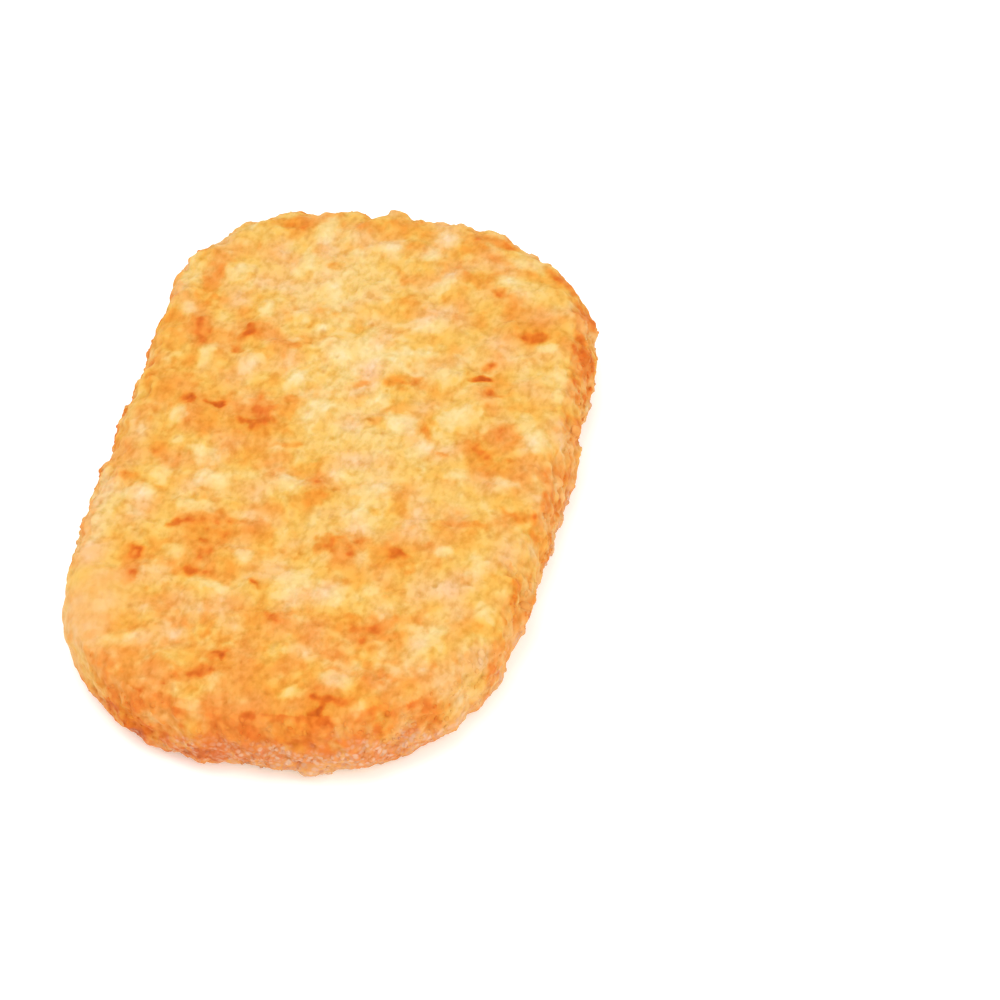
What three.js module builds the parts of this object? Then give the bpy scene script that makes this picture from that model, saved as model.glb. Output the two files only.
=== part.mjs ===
// A fried hash brown: chopped and shredded potato pressed in an oblong mould and fried as one piece.
//
// The frame: X across the patty, Y along it, Z up through its thickness. The origin is on the flat
// underside, in the middle of the patty's length and width. All sizes are in millimetres.
//
// The solid is one skin. Its rings start at the edge of the flat underside and climb the rounded rim,
// and a grid stretched across the last ring makes the top face. Two kinds of relief push the skin in
// and out: a slow waviness of the whole patty, and the rounded backs of the potato shreds that it was
// pressed from.

import * as THREE from "three";

// Driving dimensions
const LENGTH = 105.2;
const WIDTH = 66.9;
const THICKNESS = 13.5;

// The mould's outline: its corners are rounded unevenly and its sides bow outwards
const CORNER_RADIUS = { nearLeft: 26.7, nearRight: 25.4, farRight: 22.2, farLeft: 18.3 };
const SIDE_BOW = { near: 0.8, right: 2.1, far: 1.6, left: 1.2 };

// The rim's section is a superellipse, between a half circle at 2 and a square wall at large values
const RIM_DEPTH = 6.1;
const RIM_SQUARENESS = 2.6;

// The top face rises a little to its middle
const CROWN = 0.5;

// Relief
const WAVE_SIZE = 19;
const WAVE_HEIGHT = 0.45;
const SHRED_SPACING = 5.4;
const SHRED_LENGTH = 4.2; // between the centres of its round ends
const SHRED_HEIGHT = 1.1;
const UNDERSIDE_FADE = 2.5; // the relief dies out over this height above the flat underside

// Mesh density: the top's grid has this many cells each way, and its edge is each ring of the rim
const CELLS_ACROSS = 32;
const CELLS_ALONG = 56;
const POINTS_ROUND = 2 * (CELLS_ACROSS + CELLS_ALONG);
const RIM_STEPS = 12;
const EVENING_SWEEPS = 30; // of the grid's plan, as topPlan says

// A repeatable number from 0 to 1 for a point of the whole-number lattice.
function latticeValue(i, j, k, seed) {
  const wave = Math.sin(i * 127.1 + j * 311.7 + k * 74.7 + seed * 19.3) * 43758.5453;
  return wave - Math.floor(wave);
}

// The slow waviness of the patty, from -1 to 1: smooth noise that changes over about one wave's size.
function waviness(point) {
  const cell = point.clone().divideScalar(WAVE_SIZE);
  const corner = cell.clone().floor();
  const share = cell.sub(corner);
  const eased = (t) => t * t * (3 - 2 * t);
  let sum = 0;
  for (let i = 0; i < 2; i++) {
    for (let j = 0; j < 2; j++) {
      for (let k = 0; k < 2; k++) {
        const weight =
          eased(i ? share.x : 1 - share.x) *
          eased(j ? share.y : 1 - share.y) *
          eased(k ? share.z : 1 - share.z);
        sum += weight * latticeValue(corner.x + i, corner.y + j, corner.z + k, 1);
      }
    }
  }
  return 2 * sum - 1;
}

// A potato shred of the whole-number lattice, as the line between the centres of its round ends. Each
// cell holds one shred, which lies somewhere inside it in any direction.
function shredAxis(i, j, k) {
  const middle = new THREE.Vector3(
    i + latticeValue(i, j, k, 2),
    j + latticeValue(i, j, k, 3),
    k + latticeValue(i, j, k, 4),
  ).multiplyScalar(SHRED_SPACING);
  const tilt = Math.acos(2 * latticeValue(i, j, k, 5) - 1);
  const turn = 2 * Math.PI * latticeValue(i, j, k, 6);
  const half = new THREE.Vector3().setFromSphericalCoords(SHRED_LENGTH / 2, tilt, turn);
  return new THREE.Line3(middle.clone().sub(half), middle.clone().add(half));
}

// The rounded backs of the shreds, from 0 in the gap between two to 1 on the proudest. The nearest
// shred shapes the skin, and some lie deeper than others.
function shredBacks(point) {
  const home = point.clone().divideScalar(SHRED_SPACING).floor();
  const onShred = new THREE.Vector3();
  let nearest = Infinity;
  let proudness = 0;
  for (let i = home.x - 1; i <= home.x + 1; i++) {
    for (let j = home.y - 1; j <= home.y + 1; j++) {
      for (let k = home.z - 1; k <= home.z + 1; k++) {
        shredAxis(i, j, k).closestPointToPoint(point, true, onShred);
        const distance = onShred.distanceTo(point);
        if (distance < nearest) {
          nearest = distance;
          proudness = 0.4 + 0.6 * latticeValue(i, j, k, 7);
        }
      }
    }
  }
  const fromAxis = Math.min(1, nearest / (SHRED_SPACING / 2));
  return proudness * (1 - fromAxis * fromAxis);
}

// The outline at its widest, as evenly spaced points. It starts halfway round the near left corner and
// runs anticlockwise.
function mouldOutline() {
  const { near, right, far, left } = SIDE_BOW;
  const halfWidth = (WIDTH - left - right) / 2;
  const halfLength = (LENGTH - near - far) / 2;
  const { nearLeft, nearRight, farRight, farLeft } = CORNER_RADIUS;
  const quarter = Math.PI / 2;
  const shape = new THREE.Shape();
  shape.absarc(nearLeft - halfWidth, nearLeft - halfLength, nearLeft, 2.5 * quarter, 3 * quarter);
  shape.absarc(halfWidth - nearRight, nearRight - halfLength, nearRight, 3 * quarter, 4 * quarter);
  shape.absarc(halfWidth - farRight, halfLength - farRight, farRight, 0, quarter);
  shape.absarc(farLeft - halfWidth, halfLength - farLeft, farLeft, quarter, 2 * quarter);
  shape.absarc(nearLeft - halfWidth, nearLeft - halfLength, nearLeft, 2 * quarter, 2.5 * quarter);
  const points = shape.getSpacedPoints(POINTS_ROUND).slice(0, POINTS_ROUND);

  // Each side bows out most at its middle and not at all at its ends
  const middle = (x, half) => Math.cos(quarter * THREE.MathUtils.clamp(x / half, -1, 1)) ** 2;
  for (const p of points) {
    const across = middle(p.x, halfWidth);
    const along = middle(p.y, halfLength);
    const outX = (p.x < 0 ? -left : right) * along * Math.abs(p.x / halfWidth);
    const outY = (p.y < 0 ? -near : far) * across * Math.abs(p.y / halfLength);
    p.add(new THREE.Vector2(outX, outY));
  }

  // The origin is midway between the outermost points each way
  const box = new THREE.Box2().setFromPoints(points);
  const centre = box.getCenter(new THREE.Vector2());
  return points.map((p) => p.sub(centre));
}

// The direction straight out of the outline at each of its points.
function outwardNormals(outline) {
  const count = outline.length;
  return outline.map((_, i) => {
    const before = outline[(i + count - 1) % count];
    const after = outline[(i + 1) % count];
    return new THREE.Vector2(after.y - before.y, before.x - after.x).normalize();
  });
}

// Moves a point of the skin along its normal by the relief there, and less near the underside.
function withRelief(point, normal) {
  const fade = THREE.MathUtils.smoothstep(point.z, 0, UNDERSIDE_FADE);
  const wave = WAVE_HEIGHT * waviness(point);
  const backs = SHRED_HEIGHT * (shredBacks(point) - 0.5);
  return point.clone().addScaledVector(normal, fade * (wave + backs));
}

// The rings from the flat underside's edge up the rim to the edge of the top face.
function rimRings(outline, normals) {
  const power = 2 / RIM_SQUARENESS;
  const rings = [];
  for (let step = 0; step <= RIM_STEPS; step++) {
    const angle = (Math.PI * step) / RIM_STEPS;
    const up = -Math.sign(Math.cos(angle)) * Math.abs(Math.cos(angle)) ** power;
    const out = Math.abs(Math.sin(angle)) ** power;
    const height = (THICKNESS / 2) * (1 + up);
    const inset = RIM_DEPTH * (1 - out);
    rings.push(
      outline.map((p, i) => {
        const n = normals[i];
        const point = new THREE.Vector3(p.x - n.x * inset, p.y - n.y * inset, height);
        const normal = new THREE.Vector3(n.x * out, n.y * out, up).normalize();
        return withRelief(point, normal);
      }),
    );
  }
  return rings;
}

// Where a grid point on the border of the top face lies in the ring round it.
function ringIndex(i, j) {
  if (j === 0) return i;
  if (i === CELLS_ACROSS) return CELLS_ACROSS + j;
  if (j === CELLS_ALONG) return 2 * CELLS_ACROSS + CELLS_ALONG - i;
  return POINTS_ROUND - j;
}

// The plan of the top face's grid inside its edge. Each point is stretched between the four border
// points in line with it, as in a Coons patch. Sweeps of averaging then even out the cells at the
// grid's own corners, where the edge is round.
function topPlan(edge) {
  const border = (i, j) => edge[ringIndex(i, j)];
  const mix = (a, b, share) => a.clone().lerp(b, share);
  const plan = [];
  for (let i = 0; i <= CELLS_ACROSS; i++) {
    const u = i / CELLS_ACROSS;
    plan.push([]);
    for (let j = 0; j <= CELLS_ALONG; j++) {
      const v = j / CELLS_ALONG;
      const corners = mix(
        mix(border(0, 0), border(CELLS_ACROSS, 0), u),
        mix(border(0, CELLS_ALONG), border(CELLS_ACROSS, CELLS_ALONG), u),
        v,
      );
      const along = mix(border(i, 0), border(i, CELLS_ALONG), v);
      const across = mix(border(0, j), border(CELLS_ACROSS, j), u);
      plan[i].push(along.add(across).sub(corners));
    }
  }
  for (let sweep = 0; sweep < EVENING_SWEEPS; sweep++) {
    for (let i = 1; i < CELLS_ACROSS; i++) {
      for (let j = 1; j < CELLS_ALONG; j++) {
        const neighbours = [plan[i - 1][j], plan[i + 1][j], plan[i][j - 1], plan[i][j + 1]];
        plan[i][j].set(0, 0);
        neighbours.forEach((p) => plan[i][j].addScaledVector(p, 0.25));
      }
    }
  }
  return plan;
}

// The top face's points inside its edge, column by column from the left. The face rises to its middle.
function topPoints(outline, normals) {
  const edge = outline.map((p, i) => p.clone().addScaledVector(normals[i], -RIM_DEPTH));
  const plan = topPlan(edge);
  const up = new THREE.Vector3(0, 0, 1);
  const points = [];
  for (let i = 1; i < CELLS_ACROSS; i++) {
    for (let j = 1; j < CELLS_ALONG; j++) {
      const rise = Math.sin((Math.PI * i) / CELLS_ACROSS) * Math.sin((Math.PI * j) / CELLS_ALONG);
      const { x, y } = plan[i][j];
      points.push(withRelief(new THREE.Vector3(x, y, THICKNESS + CROWN * rise), up));
    }
  }
  return points;
}

// Joins the rings, in order from the underside up, fills the underside with a fan round its middle, and
// lays the top face's grid across the last ring.
function pattySkin() {
  const outline = mouldOutline();
  const normals = outwardNormals(outline);
  const rings = rimRings(outline, normals);
  const underMiddle = new THREE.Vector3(0, 0, 0);
  const vertices = [...rings.flat(), ...topPoints(outline, normals), underMiddle];
  const faces = [];
  const addCell = (a, b, c, d) => faces.push(a, b, c, a, c, d);

  const lastRing = RIM_STEPS * POINTS_ROUND;
  for (let i = 0; i < POINTS_ROUND; i++) {
    const next = (i + 1) % POINTS_ROUND;
    faces.push(vertices.length - 1, next, i);
    for (let low = 0; low < lastRing; low += POINTS_ROUND) {
      const high = low + POINTS_ROUND;
      addCell(low + i, low + next, high + next, high + i);
    }
  }

  const firstInside = lastRing + POINTS_ROUND;
  const topIndex = (i, j) => {
    const onBorder = i === 0 || j === 0 || i === CELLS_ACROSS || j === CELLS_ALONG;
    return onBorder ? lastRing + ringIndex(i, j) : firstInside + (i - 1) * (CELLS_ALONG - 1) + j - 1;
  };
  for (let i = 0; i < CELLS_ACROSS; i++) {
    for (let j = 0; j < CELLS_ALONG; j++) {
      addCell(topIndex(i, j), topIndex(i + 1, j), topIndex(i + 1, j + 1), topIndex(i, j + 1));
    }
  }

  const geometry = new THREE.BufferGeometry().setFromPoints(vertices);
  geometry.setIndex(faces);
  geometry.computeVertexNormals();
  return geometry;
}

const friedPotato = new THREE.MeshStandardMaterial({
  color: "#f2ab55",
  roughness: 0.55,
  metalness: 0,
});

const hashBrown = new THREE.Mesh(pattySkin(), friedPotato);
hashBrown.name = "hash_brown";

const part = new THREE.Group();
part.add(hashBrown);

export default part;
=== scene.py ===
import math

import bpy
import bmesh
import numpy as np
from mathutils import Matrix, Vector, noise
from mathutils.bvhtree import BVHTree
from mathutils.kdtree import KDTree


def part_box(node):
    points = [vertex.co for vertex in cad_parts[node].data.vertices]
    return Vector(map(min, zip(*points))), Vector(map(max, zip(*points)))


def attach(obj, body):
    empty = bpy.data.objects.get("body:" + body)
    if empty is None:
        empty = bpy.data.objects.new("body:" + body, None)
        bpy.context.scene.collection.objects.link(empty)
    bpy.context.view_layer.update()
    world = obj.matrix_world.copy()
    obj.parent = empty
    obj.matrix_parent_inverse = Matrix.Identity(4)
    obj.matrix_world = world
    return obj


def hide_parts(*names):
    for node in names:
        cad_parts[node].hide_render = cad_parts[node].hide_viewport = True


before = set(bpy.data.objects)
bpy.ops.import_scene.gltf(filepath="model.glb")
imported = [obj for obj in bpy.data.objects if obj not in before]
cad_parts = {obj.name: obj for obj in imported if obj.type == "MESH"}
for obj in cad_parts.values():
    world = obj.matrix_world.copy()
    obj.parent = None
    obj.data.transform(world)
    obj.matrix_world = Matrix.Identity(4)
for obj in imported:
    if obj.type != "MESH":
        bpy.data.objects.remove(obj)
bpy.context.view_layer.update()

# Shade is painted into the dips and pits of the crust, and along the foot of the rim.
# A fried hash brown: chopped and shredded potato pressed in an oblong mould and fried as one piece.
#
# The patty is made as the real one is. Bits of potato are laid all over the mould's form, pressed level
# with it, and fused into one mass. Frying then colours the mass: pale where a piece of plain potato
# shows, golden over the starch between the pieces, and orange on the rim and in the toasted spots.
# Crisp crumbs of batter sit on the rim, and crumbs of dry starch on its foot. Arrays hold millimetres, and
# a mesh is turned to metres as it's made.

MM = 0.001

LOW, HIGH = (np.array(corner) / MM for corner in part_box("hash_brown"))
TOP = HIGH[2]
MIDDLE = (LOW + HIGH) / 2


# ---------------------------------------------------------------- camera and light

VIEW_ELEVATION = 45.5  # degrees above the patty's flat top
VIEW_AZIMUTH = 18.4
VIEW_ROLL = -5.75
VIEW_DISTANCE = 1012.0
VIEW_LENS = 252.0
VIEW_ASIDE = 24.05  # the patty lies this far to the left of the view's middle
VIEW_ABOVE = 2.4  # and this far above it


def place_camera():
    """A camera that looks down on the patty from the near right, turned a little about its own axis."""
    azimuth, elevation = math.radians(VIEW_AZIMUTH), math.radians(VIEW_ELEVATION)
    back = Vector((math.sin(azimuth) * math.cos(elevation), -math.cos(azimuth) * math.cos(elevation),
                   math.sin(elevation)))
    level = Vector((0, 0, 1)).cross(back).normalized()
    tilt = Matrix.Rotation(math.radians(VIEW_ROLL), 3, back)
    right = tilt @ level
    up = back.cross(right)
    middle = Vector((0, 0, MIDDLE[2]))
    eye = middle + back * VIEW_DISTANCE
    aim = middle + right * VIEW_ASIDE - up * VIEW_ABOVE
    backward = (eye - aim).normalized()
    sideways = up.cross(backward).normalized()
    upward = backward.cross(sideways)
    camera = bpy.data.objects.new("camera", bpy.data.cameras.new("camera"))
    camera.data.lens = VIEW_LENS
    camera.data.clip_start = 0.05
    camera.data.clip_end = 20
    turn = Matrix((sideways, upward, backward)).transposed().to_4x4()
    camera.matrix_world = Matrix.Translation(eye * MM) @ turn
    bpy.context.scene.collection.objects.link(camera)
    bpy.context.scene.camera = camera


def linear(hex_colour):
    """An sRGB colour such as "#f2ab55" as the linear red, green, blue and alpha that Blender takes."""
    parts = [int(hex_colour[i:i + 2], 16) / 255 for i in (1, 3, 5)]
    return (*(c / 12.92 if c <= 0.04045 else ((c + 0.055) / 1.055) ** 2.4 for c in parts), 1.0)


def node(tree, kind, inputs=(), stops=(), **settings):
    """Adds a shader node. A setting is a property of the node, or the value of the input of that name.
    Each of the inputs is (its name or number, the socket that feeds it or its value). Stops are the
    places and colours of a colour ramp."""
    made = tree.nodes.new(kind)
    for name, value in settings.items():
        if hasattr(made, name):
            setattr(made, name, value)
        else:
            made.inputs[name.replace("_", " ")].default_value = value
    for socket, source in inputs:
        if isinstance(source, bpy.types.NodeSocket):
            tree.links.new(source, made.inputs[socket])
        else:
            made.inputs[socket].default_value = source
    if stops:
        ramp = made.color_ramp.elements
        for element, (at, colour) in zip(ramp, (stops[0], stops[-1])):
            element.position, element.color = at, linear(colour)
        for at, colour in stops[1:-1]:
            ramp.new(at).color = linear(colour)
    return made


SKY_STRENGTH = 0.78
# Each softbox: name, place and size in metres, and watts
SOFTBOXES = [("top_softbox", (-0.30, 0.0, 1.05), 1.0, 7.2),
             ("front_softbox", (0.62, -0.62, 0.75), 0.9, 6.0)]


def light_the_table():
    """A plain white studio with two softboxes, which face the patty."""
    scene = bpy.context.scene
    scene.view_settings.view_transform = "Standard"
    world = bpy.data.worlds.new("white_studio")
    world.use_nodes = True
    world.node_tree.nodes["Background"].inputs["Color"].default_value = linear("#ffffff")
    world.node_tree.nodes["Background"].inputs["Strength"].default_value = SKY_STRENGTH
    scene.world = world
    for name, place, size, energy in SOFTBOXES:
        panel = bpy.data.lights.new(name, "AREA")
        panel.shape = "SQUARE"
        panel.size = size
        panel.energy = energy
        softbox = bpy.data.objects.new(name, panel)
        softbox.location = place
        softbox.rotation_euler = (-softbox.location).to_track_quat("-Z", "Y").to_euler()
        scene.collection.objects.link(softbox)


def white_table():
    """The table is matt white acrylic whose surface glows a little, as painted light from below, so it
    shows only a faint shadow.
    """
    bpy.ops.mesh.primitive_plane_add(size=4)
    table = bpy.context.object
    table.name = "table"
    matt = bpy.data.materials.new("glowing_white_acrylic")
    matt.use_nodes = True
    shader = matt.node_tree.nodes["Principled BSDF"]
    shader.inputs["Base Color"].default_value = linear("#f7f6f4")
    shader.inputs["Roughness"].default_value = 0.8
    shader.inputs["Specular IOR Level"].default_value = 0.1
    # Painted light: the table glows with no lamp under it, which fades the patty's shadow and lights its
    # foot
    shader.inputs["Emission Color"].default_value = linear("#ffffff")
    shader.inputs["Emission Strength"].default_value = 0.22
    table.data.materials.append(matt)


# ---------------------------------------------------------------- meshes as arrays

def mesh_arrays(mesh):
    """A mesh's points in millimetres and its triangles."""
    mesh.calc_loop_triangles()
    points = np.empty(len(mesh.vertices) * 3)
    mesh.vertices.foreach_get("co", points)
    triangles = np.empty(len(mesh.loop_triangles) * 3, np.int32)
    mesh.loop_triangles.foreach_get("vertices", triangles)
    return points.reshape(-1, 3) / MM, triangles.reshape(-1, 3)


def mesh_object(name, points, triangles):
    """A new object from points in millimetres and triangles."""
    mesh = bpy.data.meshes.new(name)
    mesh.from_pydata((points * MM).tolist(), [], triangles.tolist())
    made = bpy.data.objects.new(name, mesh)
    bpy.context.scene.collection.objects.link(made)
    return made


def apply_modifiers(made):
    """Turns an object's modifiers into its mesh."""
    seen = made.evaluated_get(bpy.context.evaluated_depsgraph_get())
    mesh = bpy.data.meshes.new_from_object(seen)
    made.modifiers.clear()
    made.data = mesh


def unit(vectors):
    """Vectors at a length of 1."""
    return vectors / np.maximum(np.linalg.norm(vectors, axis=-1, keepdims=True), 1e-9)


def point_normals(points, triangles):
    """The way each point of a mesh faces, from the triangles around it, the larger ones counting more."""
    a, b, c = (points[triangles[:, i]] for i in range(3))
    face = np.cross(b - a, c - a)
    total = np.zeros_like(points)
    for i in range(3):
        for axis in range(3):
            total[:, axis] += np.bincount(triangles[:, i], face[:, axis], len(points))
    return unit(total)


def evened(values, triangles, rounds):
    """Values at a mesh's points, each averaged with its neighbours as many times as asked."""
    starts = triangles[:, [0, 1, 2]].ravel()
    ends = triangles[:, [1, 2, 0]].ravel()
    count = len(values)
    degree = np.bincount(starts, minlength=count) + np.bincount(ends, minlength=count)
    columns = values.reshape(count, -1).copy()
    for _ in range(rounds):
        for axis in range(columns.shape[1]):
            column = columns[:, axis]
            total = np.bincount(starts, column[ends], count) + np.bincount(ends, column[starts], count)
            columns[:, axis] = 0.5 * column + 0.5 * total / degree
    return columns.reshape(values.shape)


def smooth_step(low, high, x):
    """A smooth rise from 0 at low to 1 at high. It falls instead where low is the larger of the two."""
    t = np.clip((x - low) / (high - low), 0, 1)
    return t * t * (3 - 2 * t)


# ---------------------------------------------------------------- the mould's form

def mould_form():
    """The plain form of the patty from the frame, with points shared between its triangles."""
    shape = bmesh.new()
    shape.from_mesh(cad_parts["hash_brown"].data)
    bmesh.ops.remove_doubles(shape, verts=shape.verts, dist=0.001 * MM)
    mesh = bpy.data.meshes.new("mould_form")
    shape.to_mesh(mesh)
    shape.free()
    points, triangles = mesh_arrays(mesh)
    bpy.data.meshes.remove(mesh)
    return points, triangles


form_points, form_triangles = mould_form()
form_normals = point_normals(form_points, form_triangles)
form_skin = BVHTree.FromPolygons(form_points.tolist(), form_triangles.tolist())
chance = np.random.default_rng(26)
TRIES_PER_PLACE = 6


def scattered(spacing):
    """Places on the form about evenly apart, as points and normals. Candidates are strewn by area, and
    each is kept if none kept before it is nearer than the spacing."""
    a, b, c = (form_points[form_triangles[:, i]] for i in range(3))
    area = np.linalg.norm(np.cross(b - a, c - a), axis=1) / 2
    tries = int(TRIES_PER_PLACE * area.sum() / spacing ** 2)
    face = chance.choice(len(area), tries, p=area / area.sum())
    u, v = chance.random((2, tries))
    over = u + v > 1
    u[over], v[over] = 1 - u[over], 1 - v[over]
    weights = np.stack([1 - u - v, u, v], 1)[:, :, None]
    corners = form_triangles[face]
    places = (form_points[corners] * weights).sum(1)
    facing = unit((form_normals[corners] * weights).sum(1))
    kept, taken = [], {}
    for i, cell in enumerate(np.floor(places / spacing).astype(int).tolist()):
        near = [taken.get((cell[0] + x, cell[1] + y, cell[2] + z))
                for x in (-1, 0, 1) for y in (-1, 0, 1) for z in (-1, 0, 1)]
        if all(j is None or np.sum((places[i] - places[j]) ** 2) > spacing ** 2 for j in near):
            taken[tuple(cell)] = i
            kept.append(i)
    chance.random(len(kept))  # one draw for each place, which keeps the draws after it in step
    return places[kept], facing[kept]


def rim_share(facing, full=0.75, start=0.97):
    """0 on the flat faces and 1 on the rim. It grows as a place faces less straight up or down: from the
    start to full."""
    return 1 - smooth_step(full, start, np.abs(facing[:, 2]))


# ---------------------------------------------------------------- the bits of potato

# The pieces that show most on the upper face: x, y, length, width and turn. Lengths are in millimetres,
# and a turn is in degrees from the patty's width.
PALE_PIECES = [
    (-12, 44.5, 6, 3.6, 95), (-6.8, 41.5, 2.6, 2, 60), (-2.5, 43, 4.5, 3.6, 0), (6, 46.5, 4.4, 3.8, 20),
    (4.8, 42.8, 3.2, 2, 70), (-13.5, 38, 5, 3.6, 80), (-22.5, 35, 4.6, 3.6, 30), (8, 37, 4.6, 3.2, 75),
    (-8, 32.3, 7.5, 5, 85), (17, 39.5, 3.6, 2.8, 15), (19, 44, 6, 3.6, -20), (-16.5, 27.5, 4, 2.8, 70),
    (7, 27.8, 6.5, 3.8, 10), (-28.3, 25.5, 3.4, 2.6, 90), (26, 27, 3.6, 2.2, 15), (29, 21.3, 6, 2.2, -68),
    (2.5, 20.6, 15, 6, 8), (12.6, 18.4, 5.4, 4.2, 60), (-22.8, 15.8, 5.5, 2.8, 80), (-16, 15.5, 4.4, 3, 60),
    (-8.5, 13.3, 4.6, 3.4, 85), (-4.2, 8.8, 7.5, 6, 70), (4.5, 11.6, 3.4, 2.8, 0), (16.8, 10.2, 7.6, 5, 35),
    (8, 7.6, 5, 4, 0), (29, 7.8, 7, 3.4, -60), (-24, 4, 4.6, 2.4, 85), (12.8, 2.8, 4.6, 3.6, 10),
    (3, -4, 4.4, 2.6, 10), (-18, -3.6, 5, 3.6, -30), (18.6, -1.4, 4.2, 3, -20), (26.5, -1.6, 4.4, 3.8, 0),
    (8, -7.2, 6, 5.2, 70), (-15, -8.3, 5.4, 3, 0), (-4, -7, 4, 3.2, -30), (-23.5, -8.5, 4.4, 3, -30),
    (7.6, -12.3, 5.6, 4.6, 40), (-17.5, -13.5, 5.6, 3, 0), (-24.5, -12, 5, 3.4, -30),
    (20.8, -16, 2.8, 2.2, 0), (26, -18, 4.4, 3, 75), (-7, -22.5, 3.6, 2.8, 60), (1.6, -25.8, 7.6, 5.4, 35),
    (-10.8, -28.3, 6.6, 2.4, -18), (7.5, -27.5, 6, 4, 0), (29.4, -26, 3.8, 3, 80), (22.4, -33, 6.4, 4.8, 80),
    (-17, -23, 4, 3, 0), (-20.5, -40.3, 10, 2.8, 12), (-11.6, -42.3, 6.6, 4.4, -15),
    (11.8, -42.7, 5.6, 3.8, -10), (27, -42, 5, 3, -75), (30.4, -36, 3.2, 2, 80), (-0.8, -48.8, 3.4, 2, 10),
    (6.5, -45.8, 4.4, 3, 0), (16.6, -47.6, 4, 3.2, 0), (-7.2, -51.8, 4.2, 2.4, 0)]

# The spots that fry the most: x, y, length, width, turn and how brown, where 1 is a deep orange
BROWN_SPOTS = [
    (-16.5, 46.5, 5, 4, 0, 0.7), (-5.5, 47.3, 4, 3, 0, 0.8), (13.5, 47.6, 5, 3, 0, 0.9),
    (22, 46.9, 4, 1.6, -10, 1.1), (27.5, 46, 2.4, 2, 0, 1.0), (-8.8, 38.2, 2.8, 2, 30, 0.9),
    (12.5, 39.5, 5, 3.4, 0, 0.7), (16.6, 36.8, 2.4, 2.2, 20, 1.4), (-26.5, 31.5, 3.4, 8, 0, 0.9),
    (28, 37.5, 6, 2.4, -50, 0.9), (23.4, 29.4, 4.6, 3, 20, 1.4), (31.5, 26.5, 3.2, 5, 0, 1.0),
    (-17.4, 22, 5.0, 2.4, 48, 1.3), (-19, 18.6, 3, 1.6, -50, 1.4), (-25, 21, 6, 2.6, -60, 1.0),
    (-9.8, 21.4, 3.6, 2.4, 60, 0.9), (18.3, 21.8, 2.2, 1.8, 0, 1.6), (17.8, 18.6, 2.8, 1.4, 32, 4.0),
    (20, 16.4, 3, 2.4, 0, 1.0), (32, 20, 2, 4, 0, 1.2), (7, 16.2, 6.4, 2.6, 8, 1.3),
    (0.6, 14, 4.4, 1.4, 35, 1.0), (-23.3, 6.8, 2.2, 2.4, 0, 1.1), (-19.2, 6.8, 3.4, 1.2, 18, 2.4),
    (-12.5, 6, 8, 7, 40, 0.9), (-12.5, 3, 5, 2, -50, 0.9), (-8.5, 9.4, 3, 2, 0, 0.8),
    (-7.2, 0.4, 5.4, 2, 10, 1.1), (22.5, 7.5, 8.5, 6, 45, 0.7), (23.6, 9.7, 3, 2, 20, 0.8),
    (23, 1.8, 6, 3.4, 0, 0.7), (12.8, 6.3, 4.4, 1.2, -62, 1.2), (16, 2.3, 3, 0.8, -18, 1.4),
    (-24.5, -3.5, 3.4, 3, 0, 0.8), (-28.2, -9.2, 4.4, 1.6, -10, 1.1), (0.4, -8.8, 4.4, 3.2, 60, 1.0),
    (32.4, -1, 1.6, 6, 0, 0.8), (29.5, -6.8, 4.6, 2.2, 0, 0.9), (-13.4, -15.8, 7, 3, 5, 0.7),
    (-12.8, -19.8, 7, 5, 60, 1.0), (-18.6, -17.4, 2.8, 1.8, 0, 1.4), (6.2, -17.4, 6.6, 4, 0, 1.2),
    (14.6, -18.3, 5.6, 2.6, -40, 1.3), (22, -10.6, 5.4, 1.2, 5, 0.9), (-23, -23.4, 3, 2.2, 0, 1.3),
    (-22.3, -28.2, 2.4, 3, 0, 1.8), (-22.8, -25.8, 3, 5, 0, 0.9), (-14.6, -26, 4.6, 2, 15, 1.1),
    (-4, -27.3, 2.6, 1.3, -38, 2.0), (0.2, -33, 6.6, 3, 0, 1.1), (13.5, -32.6, 9, 5.4, 0, 0.9),
    (-6.1, -40.8, 2.8, 2.2, 30, 1.4), (-6.6, -44.2, 8.6, 2.6, 22, 1.1), (17, -41.4, 3, 4, 0, 1.1),
    (-20.6, -44.4, 3.6, 3, 0, 0.6), (11.6, -46.1, 5.6, 1.8, 5, 1.3), (24, -47, 8, 5, 20, 0.3),
    (11.2, -49.4, 3.6, 2.2, 0, 2.2), (-2.4, -51.5, 9, 3.6, 0, 0.35), (20.5, -47.8, 2, 1.6, 0, 1.0),
    (31.8, -33.5, 2.2, 7, 0, 1.1), (30, -40.4, 3.4, 4, 0, 0.7), (-19.6, -49.4, 6, 2.6, -50, 0.5),
    (0.5, -50.4, 3, 2, 0, 0.5), (30.3, 32.5, 3.6, 9, 14, 0.7), (31.6, 24.5, 3, 5, 0, 1.3),
    (32, 14, 2, 4, 0, 1.4), (31, 29.4, 3.4, 4, 0, 0.8), (32.4, 6, 1.6, 5, 0, 0.9),
    (32.4, -8, 1.6, 5, 0, 0.9), (32, -19, 1.6, 6, 0, 0.8), (24, 42.5, 6, 2.4, -40, 1.1),
    (-16.4, -49.4, 4, 3, -30, 1.0)]

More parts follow.
